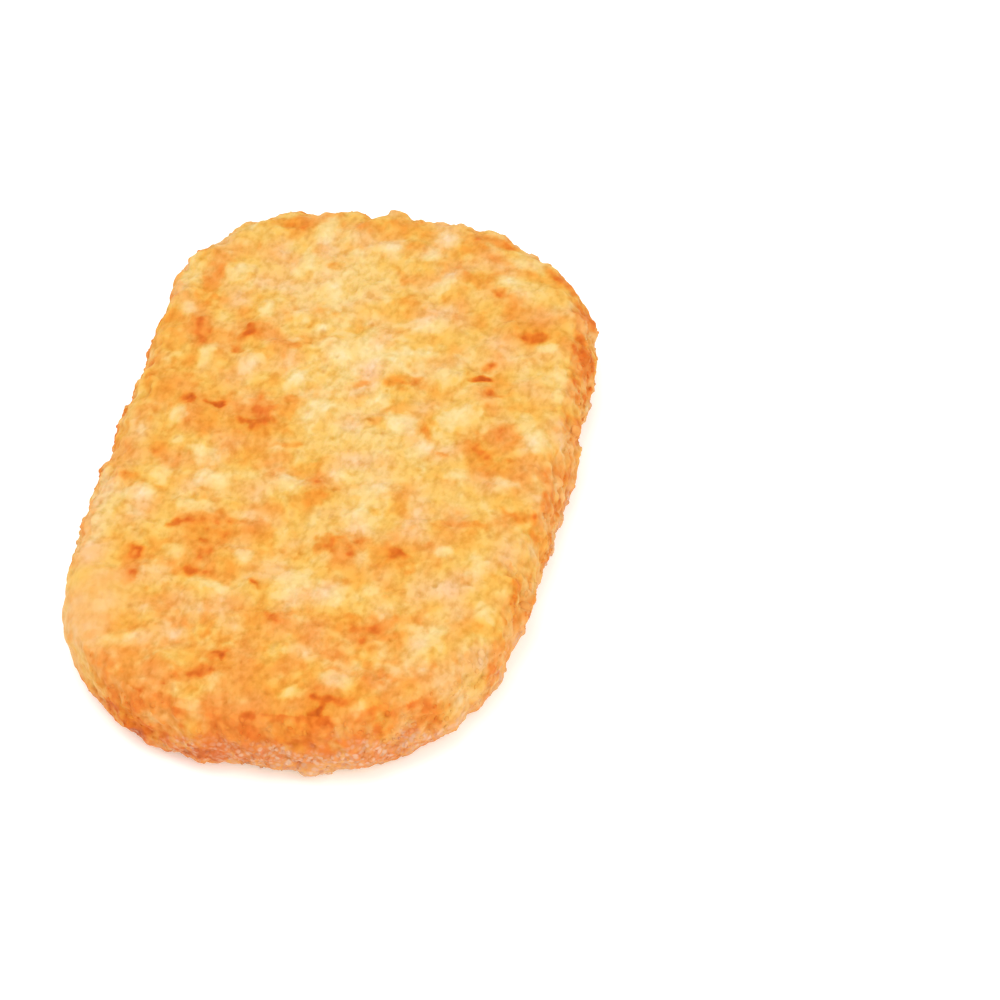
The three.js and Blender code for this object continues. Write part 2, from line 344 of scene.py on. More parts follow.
# Broad areas that lie hotter or cooler in the oil: x, y, length, width, turn and how much more they fry
BROAD_TONES = [
    (-23, 21, 20, 14, 0, 0.5), (-13, 3, 22, 11, -30, 0.6), (25, 31, 22, 10, -65, 0.5),
    (27, 3, 18, 10, 0, 0.35), (-11, -20, 20, 12, 20, 0.7), (12, -18, 18, 7, -5, 0.4),
    (4, -34, 34, 9, 0, 0.6), (-22, -32, 16, 10, 90, 0.5), (2, -47, 60, 18, 0, 1.1),
    (-6, 34, 22, 14, 60, -0.8), (1, 18, 18, 14, 0, -0.9), (5, 0, 24, 16, 20, -0.6),
    (-31, -17, 16, 7, 90, -1.0), (-31, 33, 12, 5, 90, -0.8), (2, -39, 9, 6, 0, -0.7),
    (-12, -48, 16, 7, -20, -0.5), (30, -36, 12, 6, 90, -0.8), (19, 38, 8, 7, 0, -0.6),
    (6, 46, 20, 6, 0, 0.5), (8, 11, 7, 5, 0, 0.5), (0, 16, 12, 20, 0, -0.5), (-3, 35, 10, 8, 0, -0.4),
    (-25.5, 10, 6, 16, 0, 0.6), (-7, -3, 16, 6, 0, 0.5), (29, -3, 6, 12, 0, 0.6), (-9, -15, 14, 4, 0, -0.6),
    (-8, -25, 10, 5, 0, 0.6), (12, 42, 12, 8, 0, 0.6), (-17, 45, 9, 6, 0, 0.7), (26, 24, 7, 8, 0, -0.6),
    (-22, -47, 10, 7, -40, -0.7), (24, -46, 9, 8, 30, -0.8), (5, -40, 5, 4, 0, 0.7),
    (-3, -41, 7, 4, 0, -0.4), (14, -9, 6, 4, 0, 0.4), (-25, -10, 5, 5, 0, 0.5)]

# The fold on the near left, where batter spread over the bits and set smooth: x, y, length, width, turn
SMOOTH_FOLD = (-27, -33, 19, 12, 98)


def on_top(spots):
    """Places and facings on the form's upper face, nearest to each spot's x and y."""
    hits = [form_skin.find_nearest((spot[0], spot[1], TOP)) for spot in spots]
    return np.array([hit[0] for hit in hits]), np.array([hit[1] for hit in hits])


def ball(levels):
    """A ball of radius 1, with more and smaller faces for more levels."""
    shape = bmesh.new()
    bmesh.ops.create_icosphere(shape, subdivisions=levels, radius=1)
    points = np.array([v.co for v in shape.verts])
    triangles = np.array([[v.index for v in f.verts] for f in shape.faces])
    shape.free()
    return points, triangles


def half_sizes(count, length, width, height):
    """Half sizes of that many bits, each drawn at random between the two ends of its range."""
    return np.stack([chance.uniform(*length, count), chance.uniform(*width, count),
                     chance.uniform(*height, count)], 1)


class Bits:
    """Many bits or crumbs of one kind: where each lies, which way it points and its half sizes. Sunk is
    how far each one's centre lies under its place, and lean is how unevenly they tip."""

    def __init__(self, places, facing, half, sunk, lean, along=None):
        count = len(places)
        self.places, self.facing, self.half = places, facing, half
        self.up = unit(facing + lean * chance.normal(size=(count, 3)))
        along = chance.normal(size=(count, 3)) if along is None else along
        self.along = unit(along - (along * self.up).sum(1, keepdims=True) * self.up)
        self.across = np.cross(self.up, self.along)
        self.centres = places - facing * sunk[:, None]

    def axes(self):
        return np.stack([self.along, self.across, self.up], 1)

    def meshes(self, levels, cuts, bend, press, deep=0.6):
        """One mesh of them all. Each starts as a ball, is cut flat by planes at random, is stretched,
        bent, laid in place, and pressed so that little of it stands out of the mould's form. Press is
        how far each may stand out, and deep is how near to its centre a cut may come."""
        points, triangles = ball(levels)
        count = len(self.places)
        shapes = np.repeat(points[None], count, 0)
        for _ in range(cuts):
            way = unit(chance.normal(size=(count, 1, 3)))
            depth = chance.uniform(deep, 0.95, (count, 1))
            over = np.clip((shapes * way).sum(2) - depth, 0, None)
            shapes -= over[:, :, None] * way
        shapes *= self.half[:, None, :]
        bow = chance.normal(size=(count, 1)) * bend
        shapes[:, :, 1] += bow * shapes[:, :, 0] ** 2
        bow = np.abs(chance.normal(size=(count, 1))) * bend * 0.4
        shapes[:, :, 2] -= bow * shapes[:, :, 0] ** 2
        shapes = shapes @ self.axes() + self.centres[:, None, :]
        height = ((shapes - self.places[:, None]) * self.facing[:, None]).sum(2)
        room = press[:, None]
        pressed = np.where(height > 0, room * (1 - np.exp(-height / room)), height)
        shapes += (pressed - height)[:, :, None] * self.facing[:, None]
        faces = triangles[None] + np.arange(count)[:, None, None] * len(points)
        return shapes.reshape(-1, 3), faces.reshape(-1, 3)


UNDERSIDE_RISE = 0.35
# How far a bit may stand out of the mould's form on the flat faces
FACE_PRESS = 0.12
CHOSEN_HALF_HEIGHT = 1.2
CHOSEN_SPREAD = 1.08
CHOSEN_CLEARANCE = 1.4


def raised_underside(places, facing):
    """Lifts places on the underside, so that what is pressed there ends level with the table."""
    down = smooth_step(0.3, 0.9, -facing[:, 2])
    return places - facing * (UNDERSIDE_RISE * down)[:, None]


def chopped_bits():
    """Chopped potato, 3 to 8 mm long. The chosen pieces come first, and the rest keep clear of them."""
    chosen = np.array(PALE_PIECES, float)
    chosen_places, chosen_facing = on_top(PALE_PIECES)
    turn = np.radians(chosen[:, 4])
    chosen_along = np.stack([np.cos(turn), np.sin(turn), np.zeros(len(turn))], 1)
    chosen_half = np.stack([chosen[:, 2] / 2, chosen[:, 3] / 2, np.full(len(turn), CHOSEN_HALF_HEIGHT)], 1)
    chosen_half *= CHOSEN_SPREAD
    places, facing = scattered(spacing=3.6)
    gap = np.linalg.norm(places[:, None] - chosen_places[None], axis=2) - chosen_half[None, :, :2].mean(2)
    clear = gap.min(1) > CHOSEN_CLEARANCE
    places, facing = places[clear], facing[clear]
    size = chance.lognormal(0, 0.28, len(places)) * (1 - 0.38 * rim_share(facing))
    half = half_sizes(len(places), length=(1.7, 2.9), width=(1.2, 2.1), height=(0.9, 1.4)) * size[:, None]
    along = chance.normal(size=(len(places), 3))
    facing = np.concatenate([chosen_facing, facing])
    places = raised_underside(np.concatenate([chosen_places, places]), facing)
    half = np.concatenate([chosen_half, half])
    sunk = half[:, 2] - chance.uniform(-0.12, 0.22, len(places))
    how = dict(levels=3, cuts=6, bend=0.03, press=FACE_PRESS + 0.5 * rim_share(facing))
    return Bits(places, facing, half, sunk, lean=0.05, along=np.concatenate([chosen_along, along])), how


def shred_bits():
    """Shreds, 5 to 11 mm long, that lie mostly sunk among the chopped bits."""
    places, facing = scattered(spacing=4.4)
    places = raised_underside(places, facing)
    rim = rim_share(facing)
    half = half_sizes(len(places), length=(2.4, 5.4), width=(0.6, 1.0), height=(0.6, 0.9))
    half[:, 0] *= 1 - 0.55 * rim
    sunk = half[:, 2] - chance.uniform(-0.3, 0.15, len(places))
    how = dict(levels=3, cuts=2, bend=0.06, press=FACE_PRESS + 0.4 * rim)
    return Bits(places, facing, half, sunk, lean=0.05), how


def small_bits():
    """Small bits, 1 to 2.6 mm, that fill in between and stand out as crumbs on the rim."""
    places, facing = scattered(spacing=1.3)
    places = raised_underside(places, facing)
    rim = rim_share(facing)
    half = half_sizes(len(places), length=(0.55, 1.2), width=(0.45, 0.9), height=(0.4, 0.75))
    half *= (0.85 + 0.5 * rim)[:, None]
    sunk = half[:, 2] - chance.uniform(-0.25, 0.2, len(places)) - 0.5 * rim * chance.random(len(places)) ** 4
    how = dict(levels=2, cuts=3, bend=0, press=FACE_PRESS + 0.4 * rim)
    return Bits(places, facing, half, sunk, lean=0.4), how


# ---------------------------------------------------------------- the pressed mass

CORE_DEPTH = 0.6
LOOSE_VOXEL = 0.4
VOXEL = 0.36
SOFT_ROUNDS = 5
UNDERSIDE = 0.5  # the underside's points lie below this height
UNDERSIDE_THINNED_TO = 0.73
THINNED_TO = 0.92


def fused(points, triangles, name, voxel, soft_rounds=0):
    """Overlapping shapes as one closed skin of even small faces."""
    mass = mesh_object(name, points, triangles)
    fuse = mass.modifiers.new("fuse", "REMESH")
    fuse.mode = "VOXEL"
    fuse.voxel_size = voxel * MM
    if soft_rounds:
        soften = mass.modifiers.new("soften", "SMOOTH")
        soften.iterations = soft_rounds
    apply_modifiers(mass)
    return mass


def thinned(made, points):
    """Fewer faces, most of them taken from the underside, which rests on the table and needs few."""
    group = made.vertex_groups.new(name="underside")
    group.add(np.flatnonzero(points[:, 2] < UNDERSIDE).tolist(), 1.0, "REPLACE")
    under = made.modifiers.new("thin_underside", "DECIMATE")
    under.ratio = UNDERSIDE_THINNED_TO
    under.vertex_group = group.name
    under.vertex_group_factor = 1.0
    overall = made.modifiers.new("thin", "DECIMATE")
    overall.ratio = THINNED_TO
    apply_modifiers(made)
    made.vertex_groups.clear()


def on_form(points):
    """How far points stand out of the form, and the form's normal beside each."""
    found = [form_skin.find_nearest(p) for p in points.tolist()]
    beside = np.array([f[0] for f in found])
    normals = np.array([f[1] for f in found])
    return ((points - beside) * normals).sum(1), normals


def noise_start(seed):
    """Where in the noise a seed starts, so that no two layers of it match."""
    return Vector((seed * 17.3, seed * 5.1, seed * 9.7))


def smooth_noise(points, size, seed):
    """Noise from about -1 to 1 at each point, with lumps of about that size."""
    start = noise_start(seed)
    return np.array([noise.noise(Vector(p) / size + start) for p in points.tolist()]) * 2


def domes(points, size, seed):
    """1 on top of each grain and about -1 between them, for round grains of about that size."""
    start = noise_start(seed)
    return np.array([1 - 3 * noise.voronoi(Vector(p) / size + start)[0][0] ** 2 for p in points.tolist()])


PIT_SPACING = 2.8
PIT_DEPTH = 0.25


def pits(points):
    """1 in the small pits that bubbles of steam left in the batter, and 0 around them."""
    bent = points + 0.35 * smooth_noise(points, size=0.9, seed=14)[:, None] * (1, -1, 0.5)
    found = [noise.voronoi(Vector(p) / PIT_SPACING + Vector((3.1, 8.7, 5.9))) for p in bent.tolist()]
    near = np.array([f[0][0] for f in found]) * PIT_SPACING
    own = np.array([f[1][0].dot(Vector((127.1, 311.7, 74.7))) for f in found])
    size = 0.2 + 0.5 * np.modf(np.abs(own))[0]
    return smooth_step(1.0, 0.2, near / size)


def spot_share(points, spot, ragged=0.0, core=0.55):
    """1 in the core of an oval spot on the upper face, fading to 0 past its edge. Raggedness moves the
    edge in and out."""
    x, y, length, width, turn = spot[:5]
    turn = math.radians(turn)
    along = (points[:, 0] - x) * math.cos(turn) + (points[:, 1] - y) * math.sin(turn)
    across = (points[:, 1] - y) * math.cos(turn) - (points[:, 0] - x) * math.sin(turn)
    reach = np.hypot(along / (length / 2), across / (width / 2)) + ragged
    return smooth_step(1.35, core, reach) * smooth_step(2.5, 5, points[:, 2])


def pale_share(points, ragged=0.0, core=0.55):
    """1 in the core of the palest pieces, and 0 off them."""
    return np.max([spot_share(points, piece, ragged, core) for piece in PALE_PIECES], axis=0)


def foot(points):
    """0 at the table and 1 from 8 mm up, where the rim is free to bulge."""
    return smooth_step(0, 8, points[:, 2])


def pressed_and_filled(points):
    """Starch fills the deepest hollows and the mould holds back what stands out, most on the flat faces
    and in the fold, and least on the rim."""
    out, normals = on_form(points)
    rim = rim_share(normals) * foot(points)
    deepest = 0.25 + 0.3 * rim
    highest = 0.3 + 0.5 * rim
    relief = np.where(out < 0, -deepest * np.tanh(-out / deepest), highest * np.tanh(out / highest))
    fold = spot_share(points, SMOOTH_FOLD)
    relief = relief * (1 - 0.7 * fold) + 0.1 * fold
    level = pale_share(points)
    relief = relief * (1 - 0.5 * level) + 0.1 * level
    return points + normals * (relief - out)[:, None]


def grained(points, triangles):
    """Grains of batter roughen the skin, most on the rim, and least in the fold and on the larger pieces."""
    normals = on_form(points)[1]
    rim = rim_share(normals)
    free_rim = rim * foot(points)
    smooth = 0.6 * np.maximum(spot_share(points, SMOOTH_FOLD), pale_share(points))
    uneven = points + 0.25 * smooth_noise(points, size=1.3, seed=4)[:, None]
    coarse = (0.045 + 0.12 * rim) * domes(uneven, size=1.7, seed=4)
    fine = (0.03 + 0.11 * rim) * domes(points, size=1.05, seed=5)
    uneven = points + 0.5 * smooth_noise(points, size=2.4, seed=11)[:, None]
    lumps = 0.2 * free_rim * domes(uneven, size=3.1, seed=11)
    waves = 0.2 * free_rim * smooth_noise(points, size=6, seed=8)
    change = (coarse + fine + lumps + waves) * (1 - smooth) - PIT_DEPTH * pits(points)
    points = evened(points + point_normals(points, triangles) * change[:, None], triangles, 1)
    points[:, 2] = np.maximum(points[:, 2], 0)
    return points


def crust_mass(kinds):
    """The bits and a core just under the form's skin, as one skin."""
    core = form_points - form_normals * CORE_DEPTH
    core[:, 2] = np.maximum(core[:, 2], CORE_DEPTH)
    points, triangles = [core], [form_triangles]
    for bits, how in kinds.values():
        made_points, made_triangles = bits.meshes(**how)
        triangles.append(made_triangles + sum(len(p) for p in points))
        points.append(made_points)
    loose = fused(np.concatenate(points), np.concatenate(triangles), "loose_mass", LOOSE_VOXEL)
    points, triangles = mesh_arrays(loose.data)
    bpy.data.objects.remove(loose)
    crust = fused(pressed_and_filled(points), triangles, "hash_brown_crust", VOXEL, SOFT_ROUNDS)
    points, triangles = mesh_arrays(crust.data)
    thinned(crust, points)
    points, triangles = mesh_arrays(crust.data)
    points = grained(points, triangles)
    crust.data.vertices.foreach_set("co", (points * MM).ravel())
    return crust, points, triangles


# ---------------------------------------------------------------- frying

# Patches of the crust that fry more or less by chance: size in millimetres, how much, and seed
CHANCE_PATCHES = [(18, 0.15, 1), (8, 0.3, 2), (3.5, 0.35, 3)]
SPOT_HEAT = 1.4  # a browned spot fries this much more, times how brown it is
NEAR_END = -36  # the patty's near end lies past this y
SPARED, SPARED_AT_NEAR_END = 1.2, 0.6  # how much less the pale pieces fry
PALE_CHOPPED = 0.35  # the share of the chopped bits that stay pale
LEAST_DONE, RANGE_DONE = 0.1, 0.57  # how done the palest of the top is, and the range up to the brownest
HOLLOW_DEPTH = 0.3  # a dip this deep takes the full painted shade
HOLLOW_ROUNDS = 20  # how widely the skin is evened out to find its hollows


def add_tones(fry, points, bits, tones, soft, ragged):
    """Adds each bit's own tone to the points on it. The tone fades towards the bit's edge, and where
    another bit covers it. Soft is where the fading starts, from 0 at the bit's middle to 1 at its edge."""
    tree = KDTree(len(points))
    for i, p in enumerate(points.tolist()):
        tree.insert(p, i)
    tree.balance()
    strongest = np.zeros(len(points))
    axes = bits.axes()
    for k in range(len(bits.places)):
        found = tree.find_range(bits.centres[k], float(bits.half[k].max()) * 1.3 + 0.3)
        index = np.array([f[1] for f in found], int)
        if not len(index):
            continue
        local = (points[index] - bits.centres[k]) @ axes[k].T
        reach = np.hypot(local[:, 0] / bits.half[k, 0], local[:, 1] / bits.half[k, 1]) + ragged[index]
        above = local[:, 2] - bits.half[k, 2]
        mask = smooth_step(1.2, soft, reach) * smooth_step(0.75, 0.35, above)
        mask *= smooth_step(-2.2, -1.2, above)
        change = tones[k] * mask
        stronger = np.abs(change) > np.abs(strongest[index])
        strongest[index[stronger]] = change[stronger]
    return fry + strongest


def heat_taken(points, kinds, ragged):
    """How much each point fries, before it is ranked against the others: by chance, by where it lies, and
    by the bit that it is on."""
    fry = sum(strength * smooth_noise(points, size, seed) for size, strength, seed in CHANCE_PATCHES)
    for area in BROAD_TONES:
        fry += area[5] * spot_share(points, area, ragged)
    patchy = 1 + 0.4 * smooth_noise(points, size=1.6, seed=9)
    for spot in BROWN_SPOTS:
        fry += SPOT_HEAT * spot[5] * patchy * spot_share(points, spot, 1.5 * ragged, core=0.3)
    for piece in PALE_PIECES:
        spared = SPARED if piece[1] > NEAR_END else SPARED_AT_NEAR_END
        fry -= spared * spot_share(points, piece, 1.5 * ragged, core=0.2)
    chopped, shreds, small = (kinds[k][0] for k in ("chopped", "shreds", "small"))
    count = len(chopped.places)
    pale = chance.random(count) < PALE_CHOPPED
    tones = np.where(pale, -chance.uniform(0.4, 1.2, count), chance.uniform(-0.3, 0.6, count))
    tones = np.where(np.arange(count) < len(PALE_PIECES), -chance.uniform(0.4, 0.9, count), tones)
    fry = add_tones(fry, points, chopped, tones, soft=0.2, ragged=ragged)
    tones = chance.normal(0, 0.3, len(shreds.places))
    fry = add_tones(fry, points, shreds, tones, soft=0.3, ragged=ragged)
    tones = chance.normal(0, 0.25, len(small.places))
    return add_tones(fry, points, small, tones, soft=0.2, ragged=ragged)


def rim_toast(points, facing):
    """How much more the rim fries than the flat faces, as it stands free in the oil."""
    x, y = points[:, 0], points[:, 1]
    toast = 0.2 + 0.09 * smooth_step(-30, -46, y)
    # The edge on the far left browns more than the rest
    toast += 0.15 * smooth_step(0.65, 0.4, facing[:, 2]) * smooth_step(-10, 25, y - x)
    toast += 0.09 * smooth_noise(points, size=7, seed=16)
    return toast + 0.1 * smooth_noise(points, size=2, seed=18)


def near_left_shade(points):
    """1 on the left of the near end, where painted shade reaches down the rim to the table, and 0 away from
    it.
    """
    return smooth_step(4, -6, points[:, 0]) * smooth_step(-34, -42, points[:, 1])


def starch_band(points):
    """How high dry starch reaches up the rim: highest at the near end, from its middle to its right."""
    right = smooth_step(-16, -5, points[:, 0])
    return 3.5 + right * (0.8 + 4.2 * smooth_step(-38, -50, points[:, 1]))


def starch_cover(points, rim):
    """How much dry starch lies on each point, in a ragged band along the foot of the rim."""
    band = starch_band(points)
    z = points[:, 2]
    starch = smooth_step(band + 1.5, band - 2, z + 1.6 * smooth_noise(points, size=3.2, seed=15))
    starch *= smooth_step(0.2, 0.7, rim)
    # Painted shadow: less starch right at the table, for a darker contact line at the foot
    starch *= 0.4 + 0.6 * smooth_step(0.4, 1.5, z)
    # Less starch on the near left, as painted shade there
    return starch * (1 - 0.4 * near_left_shade(points))


def held_under(values, least, room):
    """Values as they are up to the least, and above it held more and more, so that none rises past the
    least and the room together."""
    return np.where(values > least, least + room * np.tanh((values - least) / room), values)


def fried(points, triangles, kinds):
    """The looks of each point: how done it is, from 0 for cream to 1 for dark brown, with painted shade in
    the dips and at the foot, how much painted shade its dips and pits take in deep gold, how much dry starch
    covers it, how mottled it is, and how pink rather than yellow."""
    z = points[:, 2]
    out, facing = on_form(points)
    ragged = 0.25 * smooth_noise(points, size=2.2, seed=6) + 0.2 * smooth_noise(points, size=1.1, seed=7)
    fold = spot_share(points, SMOOTH_FOLD, ragged)
    rim = rim_share(facing, full=0.58) * (1 - fold)
    hollow_shade = np.clip((evened(out, triangles, HOLLOW_ROUNDS) - out) / HOLLOW_DEPTH, -1, 1)
    # Dips in the skin are a little more done: partly deeper frying, partly painted shade
    fry = heat_taken(points, kinds, ragged) + 0.25 * hollow_shade
    # The steam pits take the deep gold as painted shade too
    hollow_shade = np.clip(hollow_shade + 1.3 * pits(points), -1, 2)

    # The flat top is done evenly over its range, with a little more for what fries hardest of all
    top = facing[:, 2] > 0.9
    order = np.sort(fry[top])
    rank = np.interp(fry, order, np.linspace(0, 1, len(order)))
    palest, brownest = np.quantile(fry[top], (0.05, 0.95))
    done = LEAST_DONE + RANGE_DONE * rank
    done += 0.12 * np.clip(fry - brownest, 0, 2.5) - 0.04 * np.clip(palest - fry, 0, 2)

    # The smooth fold is an even gold, with faint streaks across the patty
    streaks = smooth_noise(points * (0.14, 0.6, 1), size=1, seed=10)
    done += 0.6 * fold * (0.38 + 0.12 * streaks - done)

    # The rim stands free in the oil, so it is more done, and its bumps most of all
    done += rim * (rim_toast(points, facing) - 0.2 * rank + 0.07 * smooth_noise(points, size=0.9, seed=19))
    done += 0.2 * rim * smooth_step(0.05, 0.7, out)
    done = held_under(done, 0.7 - 0.06 * rim, 0.26 - 0.14 * rim)
    # Painted shadow: the rim darker along its foot at the table, and low on the near left as painted shade
    done += rim * (0.15 * near_left_shade(points) * smooth_step(10, 4, z) + 0.2 * smooth_step(1.8, 0.3, z))

    # The fold, the pale pieces and the rim are less mottled than the rest
    even = np.max([0.6 * fold, 0.4 * pale_share(points, ragged, core=0.1), 0.2 * rim], axis=0)

    # Pinker towards the near end and low on the rim, where starch dries, and yellower where it's palest
    blush = 0.32 + 0.6 * smooth_noise(points, size=4.5, seed=17) - 0.45 * smooth_step(0.3, 0.08, done)
    blush += 0.2 * fold
    blush += 0.2 * smooth_step(-10, -40, points[:, 1]) + rim * (0.45 + 0.35 * smooth_step(7, 1, z))
    return {"done": done, "hollow_shade": hollow_shade, "starch": starch_cover(points, rim), "mottled": 1 - even,
            "blush": np.clip(blush, 0, 1)}


# Potato fries from cream through gold to orange brown
FRYING = [(0.0, "#dbc3a0"), (0.06, "#dabe8e"), (0.12, "#d9b77f"), (0.25, "#d9ae66"), (0.40, "#d8a656"),
          (0.55, "#d79844"), (0.68, "#d48731"), (0.76, "#d07524"), (0.84, "#c66216"), (0.92, "#ae4d0e"),
          (1.0, "#8f3a0a")]
# Deeper gold, as a share of a grain's own red, green and blue: the starch between the grains fries to it
# in soft patches, and it is painted shade in the dips and pits
DEEP_GOLD_AND_SHADE = (0.76, 0.62, 0.33, 1)
YELLOW_FLESH = (1.0, 1.02, 0.86, 1)
PINK_STARCH = (1.0, 0.96, 1.3, 1)
HOLLOW_SHADE = 0.32  # how much more of the deep gold a dip takes, as painted shade
# Potato starch dries to a pinkish cream where the oil reaches it least
STARCH = [(0.1, "#d4aa8b"), (0.5, "#ca9772"), (0.9, "#be7f58")]
BURNT = "#b46e22"

# What repeats in the crust, and how far apart, in millimetres
GRAIN = 1.3  # a grain of batter
WANDER, WANDER_BY = 1.5, 0.7  # the edges of the grains wander in waves this long, by this much
SOFT_PATCH = 1.0
STARCH_GRAIN = 0.75
SPECK_SPACING = 2.0
FINE_GRAIN, FINE_GRAIN_HEIGHT = 0.5, 0.12  # real batter has a finer grain still, which wouldn't show


def fried_potato(name, soft):
    """Deep-fried potato: a thin crisp skin with a film of oil over soft, slightly clear flesh. The oil
    gives it a satin sheen, and the flesh under it lets a little light through. A crumb is crisp right
    through, so it isn't soft."""
    material = bpy.data.materials.new(name)
    material.use_nodes = True
    tree = material.node_tree
    shader = tree.nodes["Principled BSDF"]
    shader.inputs["IOR"].default_value = 1.45  # near that of frying oil
    shader.inputs["Specular IOR Level"].default_value = 0.12
    shader.inputs["Subsurface Weight"].default_value = soft
    shader.inputs["Subsurface Radius"].default_value = (1.0, 0.45, 0.15)
    shader.inputs["Subsurface Scale"].default_value = 1.2 * MM
    done, hollow_shade, mottled, blush, starch = (
        node(tree, "ShaderNodeAttribute", attribute_name=look).outputs["Fac"]
        for look in ("done", "hollow_shade", "mottled", "blush", "starch"))
    # The grain runs a little along the patty, the way the mould is filled
    place = node(tree, "ShaderNodeTexCoord").outputs["Object"]
    place = node(tree, "ShaderNodeVectorMath", [(0, place), (1, (1, 0.72, 1))],
                 operation="MULTIPLY").outputs["Vector"]

    # Grains of batter, each a little more or less done, that run into each other
    wander = node(tree, "ShaderNodeTexNoise", [("Vector", place)], Scale=1 / (WANDER * MM), Detail=1.0)
    wandering = node(tree, "ShaderNodeVectorMath",
                     [(0, wander.outputs["Color"]), (1, (WANDER_BY * MM,) * 3), (2, place)],
                     operation="MULTIPLY_ADD").outputs["Vector"]
    grains = node(tree, "ShaderNodeTexVoronoi", [("Vector", wandering)], feature="SMOOTH_F1",
                  Scale=1 / (GRAIN * MM), Smoothness=0.6)
    own = node(tree, "ShaderNodeMapRange", [("Value", grains.outputs["Color"])], To_Min=-0.06, To_Max=0.06)
    amount = node(tree, "ShaderNodeMath", [(0, done), (1, own.outputs["Result"])], operation="ADD")
    colour = node(tree, "ShaderNodeValToRGB", [("Fac", amount.outputs["Value"])], FRYING).outputs["Color"]

    # Deeper gold: painted shade in the dips and pits, and fried starch in small soft patches
    patches = node(tree, "ShaderNodeTexNoise", [("Vector", place)], Scale=1 / (SOFT_PATCH * MM), Detail=2.0,
                   Roughness=0.5)
    patches = node(tree, "ShaderNodeMapRange", [("Value", patches.outputs["Fac"])], From_Min=0.42,
                   From_Max=0.7, To_Min=0.06, To_Max=0.66)
    gold = node(tree, "ShaderNodeMath", [(0, hollow_shade), (1, HOLLOW_SHADE), (2, patches.outputs["Result"])],
                operation="MULTIPLY_ADD", use_clamp=True)
    gold = node(tree, "ShaderNodeMath", [(0, gold.outputs["Value"]), (1, mottled)], operation="MULTIPLY")
    gold = gold.outputs["Value"]
    colour = node(tree, "ShaderNodeMix", [("Factor", gold), ("A", colour), ("B", DEEP_GOLD_AND_SHADE)],
                  data_type="RGBA", blend_type="MULTIPLY").outputs["Result"]

    # Potato flesh is a yellower cream and fried starch a pinker one
    tint = node(tree, "ShaderNodeMix", [("Factor", blush), ("A", YELLOW_FLESH), ("B", PINK_STARCH)],
                data_type="RGBA").outputs["Result"]
    colour = node(tree, "ShaderNodeMix", [("Factor", 1.0), ("A", colour), ("B", tint)], data_type="RGBA",
                  blend_type="MULTIPLY").outputs["Result"]

    # Dried starch lies in grains along the foot of the rim
    dust = node(tree, "ShaderNodeTexVoronoi", [("Vector", wandering)], Scale=1 / (STARCH_GRAIN * MM))
    cover = node(tree, "ShaderNodeMapRange", [("Value", dust.outputs["Distance"])], From_Min=0.6,
                 From_Max=0.3, To_Min=0.25, To_Max=1.0)
    cover = node(tree, "ShaderNodeMath", [(0, cover.outputs["Result"]), (1, starch)], operation="MULTIPLY")
    pale = node(tree, "ShaderNodeValToRGB", [("Fac", dust.outputs["Color"])], STARCH).outputs["Color"]
    colour = node(tree, "ShaderNodeMix", [("Factor", cover.outputs["Value"]), ("A", colour), ("B", pale)],
                  data_type="RGBA").outputs["Result"]

    # Specks of burnt crumb, under 1 mm across, in some of the cells
    cells = node(tree, "ShaderNodeTexVoronoi", [("Vector", wandering)], Scale=1 / (SPECK_SPACING * MM))
    speck = node(tree, "ShaderNodeMapRange", [("Value", cells.outputs["Distance"])], From_Min=0.05,
                 From_Max=0.3, To_Min=1.0, To_Max=0.0).outputs["Result"]
    some = node(tree, "ShaderNodeMapRange", [("Value", cells.outputs["Color"])], From_Min=0.45,
                From_Max=0.95, To_Min=0.0, To_Max=0.6).outputs["Result"]
    for share in (some, mottled):
        speck = node(tree, "ShaderNodeMath", [(0, speck), (1, share)], operation="MULTIPLY").outputs["Value"]
    colour = node(tree, "ShaderNodeMix", [("Factor", speck), ("A", colour), ("B", linear(BURNT))],
                  data_type="RGBA").outputs["Result"]
    tree.links.new(colour, shader.inputs["Base Color"])

    crumb = node(tree, "ShaderNodeTexNoise", [("Vector", place)], Scale=1 / (FINE_GRAIN * MM), Detail=2.0)
    rough = node(tree, "ShaderNodeMapRange", [("Value", crumb.outputs["Fac"])], From_Min=0.3, From_Max=0.7,
                 To_Min=0.6, To_Max=0.8)
    tree.links.new(rough.outputs["Result"], shader.inputs["Roughness"])
    bump = node(tree, "ShaderNodeBump", [("Height", crumb.outputs["Fac"])], Strength=0.25,
                Distance=FINE_GRAIN_HEIGHT * MM)
    tree.links.new(bump.outputs["Normal"], shader.inputs["Normal"])
    return material


def finish_piece(made, material, looks):
    """Gives a piece its material and looks, and puts it on the patty."""
    for look, values in looks.items():
        attribute = made.data.attributes.new(look, "FLOAT", "POINT")
        attribute.data.foreach_set("value", values.astype(np.float32))
    for polygon in made.data.polygons:
        polygon.use_smooth = True
    made.data.materials.append(material)
    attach(made, "root")


# ---------------------------------------------------------------- crumbs

CRUMB_PRESS = 1.2  # how far a crumb may stand out of the crust
DROPPED_FROM, DROP = 3, 5  # a crumb is laid on the skin from this far out, through at most this much


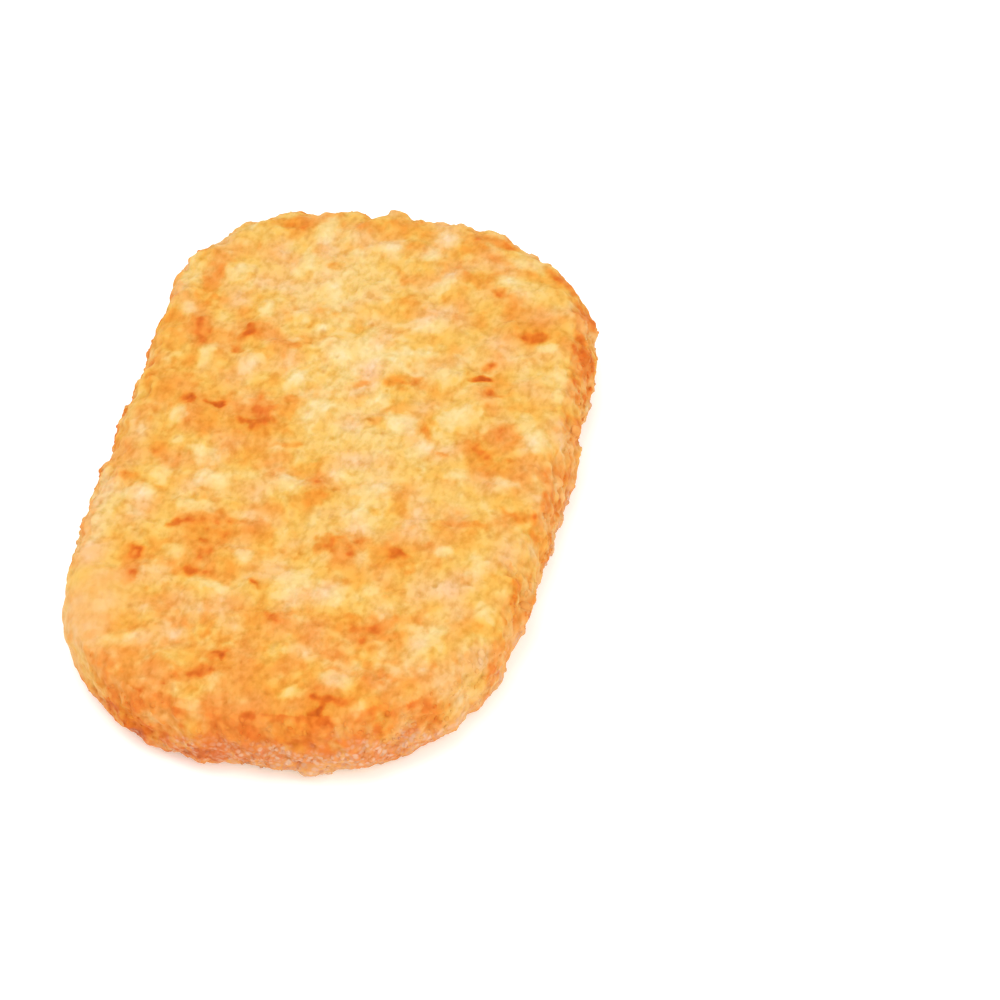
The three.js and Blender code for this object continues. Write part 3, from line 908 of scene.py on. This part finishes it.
class Crust:
    """The crust's skin, where crumbs are laid, and the looks that they take from it."""

    def __init__(self, points, triangles, looks):
        self.skin = BVHTree.FromPolygons(points.tolist(), triangles.tolist())
        self.looks = looks
        self.tree = KDTree(len(points))
        for i, point in enumerate(points.tolist()):
            self.tree.insert(point, i)
        self.tree.balance()

    def laid_on(self, places, facing):
        """Places moved straight in or out onto the skin, and the skin's facing there."""
        laid, ways = [], []
        for place, way in zip(places.tolist(), facing.tolist()):
            way = Vector(way)
            hit = self.skin.ray_cast(Vector(place) + DROPPED_FROM * way, -way, DROP)
            if hit[0] is not None:
                laid.append(hit[0])
                ways.append((hit[1] + way).normalized())
        return np.array(laid), np.array(ways)

    def crumbs(self, name, material, bits, **changes):
        """Crumbs as one piece, each with the looks of the crust under it, changed a little."""
        stand_out = np.full(len(bits.places), CRUMB_PRESS)
        points, triangles = bits.meshes(levels=2, cuts=5, bend=0, press=stand_out, deep=0.4)
        points[:, 2] = np.maximum(points[:, 2], 0)
        under = [self.tree.find(place)[1] for place in bits.places.tolist()]
        corners = len(points) // len(under)
        looks = {look: np.repeat(values[under] + changes.get(look, 0), corners)
                 for look, values in self.looks.items()}
        finish_piece(mesh_object(name, points, triangles), material, looks)


def toasted_crumbs(crust, material):
    """Crisp crumbs of batter all over the rim."""
    places, facing = scattered(spacing=0.9)
    rim = rim_share(facing, full=0.3, start=0.85)
    clumps = 0.7 + 0.6 * smooth_noise(places, size=6, seed=12)
    keep = chance.random(len(places)) < np.where(facing[:, 2] > -0.3, 0.85 * rim * clumps, 0)
    keep &= spot_share(places, SMOOTH_FOLD) < 0.2
    places, facing = crust.laid_on(places[keep], facing[keep])
    count = len(places)
    size = chance.lognormal(0, 0.3, count)[:, None]
    half = size * half_sizes(count, length=(0.25, 0.5), width=(0.22, 0.4), height=(0.22, 0.4))
    bits = Bits(places, facing, half, sunk=0.4 * half[:, 2], lean=0.3)
    crust.crumbs("toasted_crumbs", material, bits, done=chance.uniform(-0.04, 0.06, count))


def starch_crumbs(crust, material):
    """Crumbs of dried starch along the foot of the rim."""
    places, facing = scattered(spacing=0.75)
    band = starch_band(places)
    low = smooth_step(band + 0.5, band - 3, places[:, 2]) * rim_share(facing, full=0.5, start=0.85)
    low *= 0.4 + 0.5 * smooth_noise(places, size=3.2, seed=13)
    keep = chance.random(len(places)) < low
    places, facing = crust.laid_on(places[keep], facing[keep])
    count = len(places)
    size = chance.lognormal(0, 0.25, count)[:, None]
    half = size * half_sizes(count, length=(0.22, 0.4), width=(0.2, 0.32), height=(0.16, 0.28))
    bits = Bits(places, facing, half, sunk=0.3 * half[:, 2], lean=0.4)
    crust.crumbs("starch_crumbs", material, bits, starch=chance.uniform(0.1, 0.5, count))


place_camera()
light_the_table()
white_table()
kinds = {"chopped": chopped_bits(), "shreds": shred_bits(), "small": small_bits()}
patty, points, triangles = crust_mass(kinds)
looks = fried(points, triangles, kinds)
finish_piece(patty, fried_potato("fried_potato", soft=0.3), looks)
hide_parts("hash_brown")
crust = Crust(points, triangles, looks)
crisp_batter = fried_potato("crisp_batter", soft=0.0)
toasted_crumbs(crust, crisp_batter)
starch_crumbs(crust, crisp_batter)
